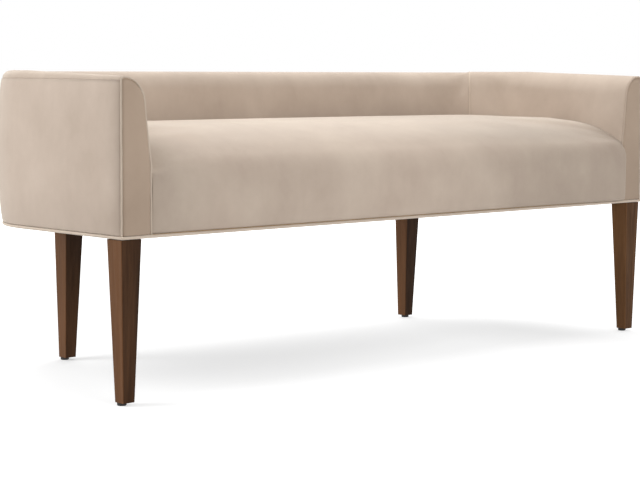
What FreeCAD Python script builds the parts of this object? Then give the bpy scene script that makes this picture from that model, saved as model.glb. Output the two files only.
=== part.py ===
"""Low upholstered bed bench: a crowned seat inside a padded wall that rounds its rear corners.

Millimetres, +Z up, +X along the length, the front towards -Y. The origin is on the floor under
the middle of the bench. Every wall piece is one section, drawn outwards from the centre of the
rear corner arc, then run along the arms, the corners and the back.
"""
import FreeCAD
import Part
import Sketcher
import math
import os

SIZES = (
    # the body over its covers
    ("width", 1524),
    ("depth", 568),
    ("back_height", 624),
    ("arm_height", 612),
    ("base_height", 311),
    ("corner_radius", 229),
    # the padded wall, seen in section
    ("wall_thickness", 71),
    ("wall_lean", 7),
    ("wall_roll", 48),
    ("wall_edge", 8),
    # the seat
    ("seat_height", 513),
    ("seat_proud", 11),
    ("seat_tuck", 8),
    ("seat_roll", 52),
    ("seat_roll_angle", 59),
    ("seat_crown", 400),
    ("seat_end_drop", 2),
    ("seat_end_setback", 2),
    # sheet and soft stock
    ("cover", 2),
    ("board", 4),
    ("front_board", 10),
    ("strap", 2),
    ("strap_width", 50),
    ("strap_pitch", 113),
    ("deck", 1.5),
    ("dust_sheet", 1),
    ("welt", 6),
    ("welt_proud", 1.5),
    ("piping", 4),
    ("soft_gap", 0.3),
    # timber
    ("rail", 25),
    ("rail_height", 95),
    ("top_rail_height", 40),
    ("top_padding", 16),
    ("post_width", 45),
    ("block", 60),
    ("stretcher_height", 65),
    ("stretcher_spacing", 339),
    ("dowel", 10),
    ("dowel_length", 50),
    ("dowel_margin", 12),
    # legs and their fittings
    ("leg_top", 46.4),
    ("leg_foot", 26.5),
    ("leg_edge", 1),
    ("leg_side_setback", 2),
    ("leg_front_setback", 3),
    ("rear_leg_inset", 20.5),
    ("rear_leg_rake", 8),
    ("bolt", 8),
    ("bolt_depth", 40),
    ("insert_diameter", 13),
    ("insert_height", 25),
    ("glide_diameter", 18),
    ("glide_height", 6),
    ("glide_chamfer", 1.2),
    ("glide_shift", 4),
    ("nail", 3),
    ("nail_depth", 16),
)
DOWELS_PER_JOINT = 2
SIDES = (("left", -1), ("right", 1))

# Turns of an upright sketch about the vertical, by where its section faces.
FACING_RIGHT = 0
FACING_BACK = 90
FACING_LEFT = 180
QUARTER = 90
HALF_CORNER = 45
SEAM_ANGLE = 1

doc = FreeCAD.newDocument("bed_bench")
sheet = doc.addObject("Spreadsheet::Sheet", "sizes")
for row, (alias, number) in enumerate(SIZES, start=1):
    sheet.set(f"A{row}", alias)
    sheet.set(f"B{row}", str(number))
    sheet.setAlias(f"B{row}", alias)
doc.recompute()


class Size:
    """A number together with the sheet formula that gives it."""

    def __init__(self, value, formula):
        self.value = value
        self.formula = formula

    def __add__(self, other):
        other = as_size(other)
        return Size(self.value + other.value, f"({self.formula} + {other.formula})")

    def __sub__(self, other):
        other = as_size(other)
        return Size(self.value - other.value, f"({self.formula} - {other.formula})")

    def __mul__(self, other):
        other = as_size(other)
        return Size(self.value * other.value, f"({self.formula} * {other.formula})")

    def __truediv__(self, other):
        other = as_size(other)
        return Size(self.value / other.value, f"({self.formula} / {other.formula})")

    def __radd__(self, other):
        return as_size(other) + self

    def __rsub__(self, other):
        return as_size(other) - self

    def __rmul__(self, other):
        return as_size(other) * self

    def __neg__(self):
        return as_size(0) - self


def as_size(number):
    if isinstance(number, Size):
        return number
    return Size(float(number), f"({number})")


def size(alias):
    return Size(float(sheet.get(alias)), f"sizes.{alias}")


def sine(angle):
    return Size(math.sin(math.radians(angle.value)), f"sin({angle.formula} * 1 deg)")


def cosine(angle):
    return Size(math.cos(math.radians(angle.value)), f"cos({angle.formula} * 1 deg)")


def root(amount):
    return Size(math.sqrt(amount.value), f"sqrt({amount.formula})")


def larger(one, other):
    return Size(max(one.value, other.value), f"max({one.formula}; {other.formula})")


def whole_steps(length, step):
    """How many whole steps fit into a length."""
    return int(length.value // step.value)


def bind(item, prop, amount):
    """Ties one property of a document object to the sheet."""
    item.setExpression(prop, as_size(amount).formula)


width = size("width")
depth = size("depth")
back_height = size("back_height")
arm_height = size("arm_height")
base = size("base_height")
radius = size("corner_radius")
wall = size("wall_thickness")
lean = size("wall_lean")
roll = size("wall_roll")
edge = size("wall_edge")
seat_height = size("seat_height")
seat_proud = size("seat_proud")
cover = size("cover")
board = size("board")
front_board = size("front_board")
strap = size("strap")
strap_pitch = size("strap_pitch")
welt = size("welt")
welt_proud = size("welt_proud")
piping = size("piping")
soft_gap = size("soft_gap")
rail = size("rail")
rail_height = size("rail_height")
top_rail_height = size("top_rail_height")
top_padding = size("top_padding")
post_width = size("post_width")
block = size("block")
leg_top = size("leg_top")
leg_foot = size("leg_foot")
dust_sheet = size("dust_sheet")
bolt = size("bolt")
bolt_depth = size("bolt_depth")
insert_height = size("insert_height")
glide_height = size("glide_height")
nail = size("nail")
nail_depth = size("nail_depth")

# Lines of the plan. The overall depth runs from the seat's swell to the welt behind the back.
half = width / 2
front = seat_proud - (depth + seat_proud + welt_proud) / 2
back = front + depth
arc_x = half - radius
arc_y = back - radius

# Depths into the wall from its outer face, and levels above the floor.
frame_out = cover + board
frame_in = frame_out + rail
cover_front = front + cover
frame_front = cover_front + front_board
skirt = base + welt
rail_top = base + rail_height
deck_top = rail_top + strap + size("deck")
leg_head = base - dust_sheet

parts = []


def name_part(item, label):
    """Gives a finished sub-part the label that names its file."""
    item.Label = label
    parts.append(item)
    return item


def new_body(label):
    return doc.addObject("PartDesign::Body", label)


def place_sketch(body, plane, offsets, turn, axis):
    """Adds a sketch on one of the body's own origin planes, moved and turned."""
    sketch = body.newObject("Sketcher::SketchObject", f"{body.Name}_sketch")
    support = [item for item in body.Origin.OriginFeatures if item.Role == plane][0]
    sketch.AttachmentSupport = [(support, "")]
    sketch.MapMode = "FlatFace"
    base_point = FreeCAD.Vector(*[as_size(offset).value for offset in offsets])
    sketch.AttachmentOffset = FreeCAD.Placement(base_point, FreeCAD.Rotation(axis, turn))
    for letter, offset in zip("xyz", offsets):
        bind(sketch, f"AttachmentOffset.Base.{letter}", offset)
    return sketch


def upright(body, x, y, turn):
    """A standing sketch through (x, y): its own x axis points the way the turn says, y is up."""
    return place_sketch(body, "XZ_Plane", (x, 0, -y), turn, FreeCAD.Vector(0, 1, 0))


def level(body, z, x=0, y=0):
    """A lying sketch at a height, with its zero at (x, y)."""
    return place_sketch(body, "XY_Plane", (x, y, z), 0, FreeCAD.Vector(0, 0, 1))


def corner(x, y, arc=None):
    """One corner of an outline. An arc (radius, centre x, centre y) rounds the edge after it."""
    return as_size(x), as_size(y), arc


def add_edge(sketch, start, end, arc):
    """Draws one edge and returns its index with the numbers of its start and end points."""
    first = FreeCAD.Vector(start[0].value, start[1].value)
    last = FreeCAD.Vector(end[0].value, end[1].value)
    if arc is None:
        return sketch.addGeometry(Part.LineSegment(first, last)), 1, 2
    centre = FreeCAD.Vector(arc[1].value, arc[2].value)
    arm_a = first - centre
    arm_b = last - centre
    angle_a = math.atan2(arm_a.y, arm_a.x)
    angle_b = math.atan2(arm_b.y, arm_b.x)
    circle = Part.Circle(centre, FreeCAD.Vector(0, 0, 1), arc[0].value)
    if arm_a.cross(arm_b).z > 0:
        return sketch.addGeometry(Part.ArcOfCircle(circle, angle_a, angle_b)), 1, 2
    return sketch.addGeometry(Part.ArcOfCircle(circle, angle_b, angle_a)), 2, 1


def constrain(sketch, kind, places, amount):
    number = sketch.addConstraint(Sketcher.Constraint(kind, *places, amount.value))
    bind(sketch, f"Constraints[{number}]", amount)


def draw(sketch, corners, closed=True):
    """Draws an outline through its corners, each tied to the sheet."""
    origin = (-1, 1)
    ends = corners[1:] + corners[:1] if closed else corners[1:]
    edges = []
    for start, end in zip(corners, ends):
        edges.append(add_edge(sketch, start, end, start[2]))
    for number, (index, head, tail) in enumerate(edges):
        if number + 1 < len(edges) or closed:
            after, after_head, _ = edges[(number + 1) % len(edges)]
            sketch.addConstraint(Sketcher.Constraint("Coincident", index, tail, after, after_head))
        constrain(sketch, "DistanceX", (*origin, index, head), corners[number][0])
        constrain(sketch, "DistanceY", (*origin, index, head), corners[number][1])
        if corners[number][2] is not None:
            constrain(sketch, "Radius", (index,), corners[number][2][0])
    if not closed:
        index, _, tail = edges[-1]
        constrain(sketch, "DistanceX", (*origin, index, tail), corners[-1][0])
        constrain(sketch, "DistanceY", (*origin, index, tail), corners[-1][1])
    return sketch


def draw_circle(sketch, diameter, x=0, y=0):
    x = as_size(x)
    y = as_size(y)
    centre = FreeCAD.Vector(x.value, y.value)
    circle = Part.Circle(centre, FreeCAD.Vector(0, 0, 1), diameter.value / 2)
    index = sketch.addGeometry(circle)
    constrain(sketch, "DistanceX", (-1, 1, index, 3), x)
    constrain(sketch, "DistanceY", (-1, 1, index, 3), y)
    constrain(sketch, "Diameter", (index,), diameter)
    return sketch


def rectangle(x_a, x_b, y_a, y_b):
    return [corner(x_a, y_a), corner(x_b, y_a), corner(x_b, y_b), corner(x_a, y_b)]


def pad(body, sketch, length, backwards=False):
    feature = body.newObject("PartDesign::Pad", f"{body.Name}_pad")
    feature.Profile = sketch
    bind(feature, "Length", length)
    feature.Reversed = backwards
    return feature


def pocket(body, sketch, length, backwards=False):
    feature = body.newObject("PartDesign::Pocket", f"{body.Name}_pocket")
    feature.Profile = sketch
    bind(feature, "Length", length)
    feature.Reversed = backwards
    return feature


def revolve(body, sketch, angle):
    feature = body.newObject("PartDesign::Revolution", f"{body.Name}_turn")
    feature.Profile = sketch
    feature.ReferenceAxis = (sketch, ["V_Axis"])
    feature.Angle = angle
    return feature


def loft(body, sketches):
    feature = body.newObject("PartDesign::AdditiveLoft", f"{body.Name}_loft")
    feature.Profile = sketches[0]
    feature.Sections = sketches[1:]
    feature.Ruled = len(sketches) == 2
    return feature


def pipe(body, section, spine):
    feature = body.newObject("PartDesign::AdditivePipe", f"{body.Name}_pipe")
    feature.Profile = section
    feature.Spine = spine
    feature.Transition = "Right corner"
    return feature


def box(label, x, y, z, length, breadth, height):
    """A squared piece of timber: its low corner, then its lengths along X, Y and Z."""
    item = doc.addObject("Part::Box", label)
    for prop, amount in zip(("Length", "Width", "Height"), (length, breadth, height)):
        bind(item, prop, amount)
    for letter, place in zip("xyz", (x, y, z)):
        bind(item, f"Placement.Base.{letter}", place)
    return item


def rod(label, diameter, length, x, y, z, along="z"):
    """A round bar from (x, y, z) along one axis."""
    item = doc.addObject("Part::Cylinder", label)
    tilt = {
        "x": FreeCAD.Rotation(FreeCAD.Vector(0, 1, 0), 90),
        "y": FreeCAD.Rotation(FreeCAD.Vector(1, 0, 0), -90),
        "z": FreeCAD.Rotation(),
    }[along]
    item.Placement = FreeCAD.Placement(FreeCAD.Vector(), tilt)
    bind(item, "Radius", diameter / 2)
    bind(item, "Height", length)
    for letter, place in zip("xyz", (x, y, z)):
        bind(item, f"Placement.Base.{letter}", place)
    return item


def group(label, items):
    item = doc.addObject("Part::Compound", label)
    item.Links = items
    return item


def cut(label, blank, tool):
    item = doc.addObject("Part::Cut", label)
    item.Base = blank
    item.Tool = tool
    return item


def common(label, blank, tool):
    item = doc.addObject("Part::Common", label)
    item.Base = blank
    item.Tool = tool
    return item


def span_from(sign, start, length):
    """Low X of a piece that lies from start outwards on one side of the middle."""
    return start if sign > 0 else -start - length


# The wall in section. Each function takes the height of the wall's top and gives an outline whose
# x is the distance out from the corner arc's centre line.

def inwards(distance):
    return radius - distance


def arm_top(y):
    """Height of an arm's top, which falls from the corner to the front."""
    return arm_height + (back_height - arm_height) * (y - front) / (arc_y - front)


def roll_end(top, inset):
    """Where the rolled top runs into the leaning inner face."""
    reach = roll - inset
    return inwards(edge) - reach * cosine(lean), top - roll + reach * sine(lean)


def knee(top, inset):
    """Where the leaning inner face turns plumb: below the seat's top, but above the deck."""
    x, z = roll_end(top, inset)
    slope = sine(lean) / cosine(lean)
    foot_z = larger(z - (x - inwards(wall - inset)) / slope, deck_top + cover)
    return x - (z - foot_z) * slope, foot_z


def over_the_top(top, inset):
    """The wall's skin line from the outer seam over the roll to the knee."""
    return [
        corner(inwards(inset), top - edge, (edge - inset, inwards(edge), top - edge)),
        corner(inwards(edge), top - inset, (roll - inset, inwards(edge), top - roll)),
        corner(*roll_end(top, inset)),
        corner(*knee(top, inset)),
    ]


def whole_section(top, inset):
    return [
        corner(inwards(inset), skirt),
        *over_the_top(top, inset),
        corner(knee(top, inset)[0], skirt),
    ]


def inside_cover_section(top):
    inner = over_the_top(top, cover)
    returning = [
        corner(*inner[3][:2]),
        corner(*inner[2][:2], inner[1][2]),
        corner(*inner[1][:2], inner[0][2]),
        corner(*inner[0][:2]),
    ]
    return [
        *over_the_top(top, 0 * cover),
        corner(knee(top, 0 * cover)[0], deck_top),
        corner(knee(top, cover)[0], deck_top),
        *returning,
    ]


def foam_section(top):
    return [
        corner(inwards(cover), top - top_padding),
        *over_the_top(top, cover),
        corner(knee(top, cover)[0], deck_top),
        corner(inwards(frame_in), deck_top),
        corner(inwards(frame_in), top - top_padding),
    ]


def outside_cover_section(top):
    return rectangle(inwards(cover), inwards(0), skirt, top - edge)


def board_section(top):
    return rectangle(inwards(frame_out), inwards(cover), skirt, top - top_padding)


def top_rail_section(top):
    low = top - top_padding - top_rail_height
    return rectangle(inwards(frame_in), inwards(frame_out), low, top - top_padding)


def base_rail_section(_top):
    return rectangle(inwards(frame_in), inwards(frame_out), base, rail_top)


def well_section(gap):
    """Everything outside the seat well, kept a gap clear of the wall's inner face."""
    def outline(top):
        far = radius + wall
        return [
            corner(far, base),
            corner(far, top + gap),
            *over_the_top(top, -gap)[1:],
            corner(knee(top, -gap)[0], base),
        ]
    return outline


# Runs of a section along the wall. Each adds one stretch to a body.

def arm_run(body, section, sign, start):
    turn = FACING_RIGHT if sign > 0 else FACING_LEFT
    rear = draw(upright(body, sign * arc_x, arc_y, turn), section(back_height))
    fore = draw(upright(body, sign * arc_x, start, turn), section(arm_top(start)))
    loft(body, [rear, fore])


def corner_run(body, section, sign, turn, angle):
    sketch = draw(upright(body, sign * arc_x, arc_y, turn), section(back_height))
    revolve(body, sketch, angle)


def back_run(body, section):
    sketch = draw(upright(body, -arc_x, arc_y, FACING_BACK), section(back_height))
    pad(body, sketch, 2 * arc_x)


def corner_start(sign):
    return FACING_RIGHT if sign > 0 else FACING_BACK


def whole_wall(label, section, start):
    body = new_body(label)
    back_run(body, section)
    for _, sign in SIDES:
        corner_run(body, section, sign, corner_start(sign), QUARTER)
        arm_run(body, section, sign, start)
    return body


def arm_piece(label, section, sign, start):
    body = new_body(label)
    arm_run(body, section, sign, start)
    return name_part(body, label)


def corner_piece(label, section, sign):
    body = new_body(label)
    corner_run(body, section, sign, corner_start(sign), QUARTER)
    return name_part(body, label)


def back_piece(label, section):
    body = new_body(label)
    back_run(body, section)
    return name_part(body, label)


def plan(inset, front_line):
    """The bench from above: straight front and sides, with the two rear corners rounded."""
    side = half - inset
    rear = back - inset
    bend = radius - inset
    return [
        corner(-side, front_line),
        corner(side, front_line),
        corner(side, arc_y, (bend, arc_x, arc_y)),
        corner(arc_x, rear),
        corner(-arc_x, rear, (bend, -arc_x, arc_y)),
        corner(-side, arc_y),
    ]


def dowel_row(label, x, y, along):
    """Two dowels, one above the other, centred on a joint and clear above the leg bolts."""
    rows = []
    low = leg_head + bolt_depth + size("dowel")
    step = rail_top - size("dowel_margin") - low
    for number in range(DOWELS_PER_JOINT):
        shift = {"x": (x - size("dowel_length") / 2, y), "y": (x, y - size("dowel_length") / 2)}
        rows.append(rod(f"{label}_{number}", size("dowel"), size("dowel_length"),
                        *shift[along], low + number * step, along))
    return rows


def seat_frame():
    """The glued ring of rails and leg blocks, its dowels and the cross stretchers."""
    inner = half - frame_in
    block_in = half - frame_out - block
    rear_face = back - frame_out
    middle = rail / 2
    stretcher_span = rear_face - rail - frame_front - rail
    dowels = []
    for side, sign in SIDES:
        side_x = sign * (inner + middle)
        dowels += dowel_row(f"{side}_front", sign * block_in, frame_front + middle, "x")
        dowels += dowel_row(f"{side}_arm", side_x, frame_front + block, "y")
        dowels += dowel_row(f"{side}_bend", side_x, arc_y, "y")
        dowels += dowel_row(f"{side}_rear", sign * arc_x, rear_face - middle, "x")
        dowels += dowel_row(f"{side}_back", sign * (arc_x - block), rear_face - middle, "x")
    dowels = name_part(group("dowels", dowels), "frame_dowels")

    long_front = box("front_blank", -block_in, frame_front, base, 2 * block_in, rail, rail_height)
    name_part(cut("front_member", long_front, dowels), "front_rail")
    long_rear = box("rear_blank", block - arc_x, rear_face - rail, base,
                    2 * (arc_x - block), rail, rail_height)
    name_part(cut("rear_member", long_rear, dowels), "rear_rail")

    for side, sign in SIDES:
        straight = box(f"{side}_blank", span_from(sign, inner, rail), frame_front + block, base,
                       rail, arc_y - frame_front - block, rail_height)
        name_part(cut(f"{side}_member", straight, dowels), f"{side}_side_rail")
        bent = new_body(f"{side}_bend_blank")
        corner_run(bent, base_rail_section, sign, corner_start(sign), QUARTER)
        name_part(cut(f"{side}_bend", bent, dowels), f"{side}_corner_rail")

    stretchers = []
    spacing = size("stretcher_spacing")
    outermost = whole_steps(arc_x - block - middle, spacing)
    for step in range(-outermost, outermost + 1):
        stretchers.append(box("stretcher", step * spacing - middle, frame_front + rail, base,
                              rail, stretcher_span, size("stretcher_height")))
    name_part(group("stretchers", stretchers), "seat_stretchers")
    return dowels


def leg_places():
    """Label, leg centre at its head, backward rake of its foot and shift of its glide."""
    front_x = half - size("leg_side_setback") - leg_top / 2
    front_y = front + size("leg_front_setback") + leg_top / 2
    rear_x = arc_x - size("rear_leg_inset")
    rear_y = back - size("leg_front_setback") - leg_top / 2
    rake = size("rear_leg_rake")
    shift = size("glide_shift")
    return (
        ("front_left", -front_x, front_y, 0 * rake, shift),
        ("front_right", front_x, front_y, 0 * rake, shift),
        ("rear_left", -rear_x, rear_y, rake, shift),
        ("rear_right", rear_x, rear_y, rake, 0 * shift),
    )


def leg_blocks(dowels):
    """Hardwood blocks in the ring, each bored for the insert and the bolt above its leg."""
    bolts = []
    inserts = []
    bores = []
    for label, x, y, _, _ in leg_places():
        bolts.append(rod(f"{label}_bolt", bolt, 2 * bolt_depth, x, y, leg_head - bolt_depth))
        sleeve = rod(f"{label}_sleeve", size("insert_diameter"), insert_height, x, y, base)
        inserts.append(cut(f"{label}_insert", sleeve, bolts[-1]))
        bores.append(group(f"{label}_bore", [bolts[-1], sleeve]))
    bolts = name_part(group("bolts", bolts), "hanger_bolts")
    name_part(group("inserts", inserts), "insert_nuts")

    holes = group("block_holes", [dowels, *bores])
    front_x = half - frame_out - block
    rear_y = back - frame_out - block
    for name, x, y in (("front", front_x, frame_front), ("rear", arc_x - block, rear_y)):
        blanks = []
        for side, sign in SIDES:
            blanks.append(box(f"{name}_{side}_block", span_from(sign, x, block), y, base,
                              block, block, rail_height))
        pair = group(f"{name}_block_pair", blanks)
        name_part(cut(f"{name}_blocks", pair, holes), f"{name}_leg_blocks")
    return bolts


def leg(label, x, y, rake, glide_shift):
    """A square leg that tapers on all four sides, bored for its bolt and its glide's nail."""
    body = new_body(f"{label}_leg")
    head = leg_top / 2
    foot = leg_foot / 2
    top_sketch = draw(level(body, leg_head, x, y), rectangle(-head, head, -head, head))
    foot_sketch = draw(level(body, glide_height, x, y + rake), rectangle(-foot, foot, -foot, foot))
    taper = loft(body, [top_sketch, foot_sketch])
    doc.recompute()
    names = []
    for number, side in enumerate(taper.Shape.Edges, start=1):
        if side.BoundBox.ZLength > leg_top.value:
            names.append(f"Edge{number}")
    eased = body.newObject("PartDesign::Chamfer", f"{label}_eased")
    eased.Base = (taper, names)
    bind(eased, "Size", size("leg_edge"))
    pocket(body, draw_circle(level(body, leg_head, x, y), bolt), bolt_depth)
    nail_sketch = draw_circle(level(body, glide_height, x - glide_shift, y + rake + glide_shift), nail)
    pocket(body, nail_sketch, nail_depth, backwards=True)
    return name_part(body, f"{label}_leg")


def glide(label, x, y):
    """A nail-on glide: a low round button with its nail."""
    body = new_body(f"{label}_glide")
    rim = size("glide_diameter") / 2
    chamfer = size("glide_chamfer")
    outline = [
        corner(0, 0),
        corner(rim - chamfer, 0),
        corner(rim, chamfer),
        corner(rim, glide_height),
        corner(nail / 2, glide_height),
        corner(nail / 2, glide_height + nail_depth),
        corner(0, glide_height + nail_depth),
    ]
    revolve(body, draw(upright(body, x, y, FACING_RIGHT), outline), 4 * QUARTER)
    return name_part(body, f"{label}_glide")


def wall_frame():
    """Posts on the ring, and the rail that runs round the top of the wall."""
    post_height = back_height - top_padding - top_rail_height - rail_top
    for side, sign in SIDES:
        body = new_body(f"{side}_post")
        low_x = span_from(sign, half - frame_in, rail)
        sketch = upright(body, low_x, 0, FACING_BACK)
        for start in (frame_front, arc_y - post_width):
            end = start + post_width
            under = top_padding + top_rail_height
            outline = [
                corner(start, rail_top),
                corner(end, rail_top),
                corner(end, arm_top(end) - under),
                corner(start, arm_top(start) - under),
            ]
            draw(sketch, outline)
        pad(body, sketch, rail)
        name_part(body, f"{side}_arm_posts")
        arm_piece(f"{side}_arm_top_rail", top_rail_section, sign, frame_front)
        corner_piece(f"{side}_corner_top_rail", top_rail_section, sign)
    back_piece("back_top_rail", top_rail_section)
    posts = []
    outermost = whole_steps(arc_x - post_width / 2, strap_pitch)
    between = outermost // 2
    for step in (-outermost, -between, between, outermost):
        posts.append(box("post", step * strap_pitch - post_width / 2, back - frame_in, rail_top,
                         post_width, rail, post_height))
    name_part(group("posts", posts), "back_posts")


def suspension():
    """Webbing straps across the ring, and the hessian deck over them."""
    straps = []
    count = 2 * whole_steps(half - frame_in, strap_pitch)
    middle = (count - 1) / 2
    for number in range(count):
        x = (number - middle) * strap_pitch - size("strap_width") / 2
        straps.append(box("strap_blank", x, frame_front, rail_top, size("strap_width"),
                          back - frame_out - frame_front, strap))
    limit = new_body("strap_limit")
    trimmed = plan(frame_out + rail / 4, frame_front)
    pad(limit, draw(level(limit, rail_top), trimmed), strap)
    name_part(common("straps", group("strap_set", straps), limit), "seat_webbing")
    deck = new_body("deck_sheet")
    pad(deck, draw(level(deck, rail_top + strap), plan(frame_in, frame_front)), size("deck"))
    name_part(deck, "seat_deck")


def seat_profile(inset, drop, setback):
    """The seat from the side: a swelling front, a rolled edge and a long crown to the back."""
    angle = size("seat_roll_angle")
    roll_small = size("seat_roll")
    roll_large = size("seat_crown")
    face = front - seat_proud + setback
    crest = seat_height - drop
    small_z = crest - roll_large + (roll_large - roll_small) * sine(angle)
    small_y = face + roll_small
    large_y = small_y + (roll_large - roll_small) * cosine(angle)
    large_z = crest - roll_large
    near = roll_small - inset
    far = roll_large - inset
    return [
        corner(face + size("seat_tuck") + inset, skirt),
        corner(face + inset, small_z, (near, small_y, small_z)),
        corner(small_y - near * cosine(angle), small_z + near * sine(angle), (far, large_y, large_z)),
        corner(large_y, crest - inset),
        corner(back - frame_in, crest - inset),
        corner(back - frame_in, deck_top),
        corner(frame_front, deck_top),
        corner(frame_front, skirt),
    ]


def seat_form(label, inset, gap):
    """The crowned seat, lower and drawn in at its ends, trimmed to the well inside the wall."""
    body = new_body(f"{label}_form")
    end = half - frame_in
    sections = []
    for sign in (-1, 0, 1):
        drop = abs(sign) * size("seat_end_drop")
        setback = abs(sign) * size("seat_end_setback")
        sketch = upright(body, sign * end, 0, FACING_BACK)
        sections.append(draw(sketch, seat_profile(inset, drop, setback)))
    loft(body, sections)
    well = whole_wall(f"{label}_well", well_section(gap), front - wall)
    return cut(f"{label}_trimmed", body, well)


def seat():
    foam = name_part(seat_form("foam", cover, soft_gap + cover), "seat_foam")
    skin = seat_form("skin", 0 * cover, soft_gap)
    name_part(cut("seat_skin", skin, foam), "seat_cover")


def wall_padding():
    """Outer boards, foam, and the covers with their seams at the rear corners."""
    for side, sign in SIDES:
        arm_piece(f"{side}_side_board", board_section, sign, frame_front)
        corner_piece(f"{side}_corner_board", board_section, sign)
        arm_piece(f"{side}_arm_foam", foam_section, sign, frame_front)
        corner_piece(f"{side}_corner_foam", foam_section, sign)
        inside = new_body(f"{side}_inside")
        arm_run(inside, inside_cover_section, sign, cover_front)
        seam = FACING_RIGHT if sign > 0 else FACING_LEFT - HALF_CORNER + SEAM_ANGLE
        corner_run(inside, inside_cover_section, sign, seam, HALF_CORNER - SEAM_ANGLE)
        name_part(inside, f"{side}_inside_cover")
    back_piece("back_board", board_section)
    back_piece("back_foam", foam_section)
    inside_back = new_body("inside_back")
    back_run(inside_back, inside_cover_section)
    for sign, seam in ((1, HALF_CORNER + SEAM_ANGLE), (-1, FACING_BACK)):
        corner_run(inside_back, inside_cover_section, sign, seam, HALF_CORNER - SEAM_ANGLE)
    name_part(inside_back, "inside_back_cover")
    name_part(whole_wall("outside", outside_cover_section, cover_front), "outside_cover")


def front_panel(side, sign):
    """The facing on the end of an arm: a board, its cover and the piping round the edge."""
    turn = FACING_RIGHT if sign > 0 else FACING_LEFT
    towards_back = sign > 0
    pieces = (
        ("front_board", cover_front, front_board, cover),
        ("front_cover", front, cover, piping + soft_gap),
    )
    for name, start, thickness, inset in pieces:
        body = new_body(f"{side}_{name}")
        sketch = draw(upright(body, sign * arc_x, start, turn), whole_section(arm_height, inset))
        pad(body, sketch, thickness, backwards=towards_back)
        name_part(body, f"{side}_{name}")
    body = new_body(f"{side}_front_piping")
    line = piping / 2
    spine = draw(upright(body, sign * arc_x, cover_front - line, turn),
                 whole_section(arm_height, line), closed=False)
    end = draw_circle(level(body, skirt, sign * (half - line), cover_front - line), piping)
    pipe(body, end, spine)
    name_part(body, f"{side}_front_piping")


def corner_piping(side, sign):
    """Piping in the seam of a rear corner, from the seat up over the top of the wall."""
    turn = HALF_CORNER if sign > 0 else FACING_BACK + HALF_CORNER
    body = new_body(f"{side}_corner_piping")
    skin = over_the_top(back_height, -soft_gap)
    low = seat_height + piping
    x_end, z_end = skin[2][:2]
    x_knee, z_knee = skin[3][:2]
    if low.value < z_end.value:
        run = (x_end - x_knee) * (z_end - low) / (z_end - z_knee)
        path = skin[:3] + [corner(x_end - run, low)]
    else:
        reach_up = low - (back_height - roll)
        run = root((roll + soft_gap) * (roll + soft_gap) - reach_up * reach_up)
        path = skin[:2] + [corner(inwards(edge) - run, low)]
    spine = draw(upright(body, sign * arc_x, arc_y, turn), path, closed=False)
    reach = (radius + soft_gap) * cosine(as_size(HALF_CORNER))
    end = draw_circle(level(body, back_height - edge, sign * (arc_x + reach), arc_y + reach), piping)
    pipe(body, end, spine)
    name_part(body, f"{side}_corner_piping")


def base_trim(bolts):
    """The welt round the lower edge, and the dust sheet stapled under the frame."""
    body = new_body("base_welt")
    line = welt / 2 - welt_proud
    loop = draw(level(body, base + welt / 2), plan(line, front))
    section = draw_circle(upright(body, 0, 0, FACING_BACK), welt, front, base + welt / 2)
    pipe(body, section, loop)
    name_part(body, "base_welt")
    sheet_body = new_body("dust_sheet_blank")
    pad(sheet_body, draw(level(sheet_body, leg_head), plan(frame_out, frame_front)), dust_sheet)
    name_part(cut("dust_sheet_bored", sheet_body, bolts), "dust_cover")


dowel_set = seat_frame()
bolt_set = leg_blocks(dowel_set)
for leg_label, leg_x, leg_y, leg_rake, leg_glide_shift in leg_places():
    leg(leg_label, leg_x, leg_y, leg_rake, leg_glide_shift)
    glide(leg_label, leg_x - leg_glide_shift, leg_y + leg_rake + leg_glide_shift)
wall_frame()
suspension()
seat()
wall_padding()
for side_label, side_sign in SIDES:
    front_panel(side_label, side_sign)
    corner_piping(side_label, side_sign)
base_trim(bolt_set)
doc.recompute()

failed = [item.Label for item in doc.Objects if {"Invalid", "Error"} & set(item.State)]
failed += [item.Label for item in parts if item.Shape.isNull() or not item.Shape.isValid()]
if failed:
    raise RuntimeError(f"these did not build: {failed}")

os.makedirs("parts", exist_ok=True)
for item in parts:
    item.Shape.exportStep(f"parts/{item.Label}.step")
print(f"{len(parts)} sub-parts")
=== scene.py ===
"""Looks of a low upholstered bed bench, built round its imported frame.

Metres, +Z up, +X along the length, the front towards -Y, as in the frame.
"""

import math

import bmesh
import bpy
import numpy as np
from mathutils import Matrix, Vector


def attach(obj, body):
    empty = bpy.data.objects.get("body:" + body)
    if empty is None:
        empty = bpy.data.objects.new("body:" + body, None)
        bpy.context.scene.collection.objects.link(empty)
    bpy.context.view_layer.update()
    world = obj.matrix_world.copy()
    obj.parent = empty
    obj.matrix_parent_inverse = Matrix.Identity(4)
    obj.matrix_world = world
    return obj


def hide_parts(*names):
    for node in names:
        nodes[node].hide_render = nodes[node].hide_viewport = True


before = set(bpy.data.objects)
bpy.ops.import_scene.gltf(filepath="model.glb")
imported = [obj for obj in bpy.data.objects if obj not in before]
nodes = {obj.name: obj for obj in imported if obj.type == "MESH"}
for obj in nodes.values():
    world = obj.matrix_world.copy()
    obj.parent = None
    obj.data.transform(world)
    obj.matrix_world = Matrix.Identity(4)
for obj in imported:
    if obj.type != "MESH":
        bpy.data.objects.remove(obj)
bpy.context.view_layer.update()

# Lines of the padded wall: its outer faces, its bends and the height of its top.
HALF = 0.762
FRONT = -0.27925
BACK = 0.28875
BEND = 0.229
ARC_X = HALF - BEND
ARC_Y = BACK - BEND
BACK_TOP = 0.624
ARM_TOP = 0.612
BASE = 0.311
WELT = 0.006
SKIRT = BASE + WELT
DECK = 0.4095
RAIL_TOP = 0.406

# The wall in section, measured inwards from its outer face.
WALL = 0.071
EDGE = 0.008
REAR_EDGE = 0.017
REAR_EDGE_WIDTH = 0.019
ROLL = 0.048
LEAN = math.radians(7)
PIPING = 0.004

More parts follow.
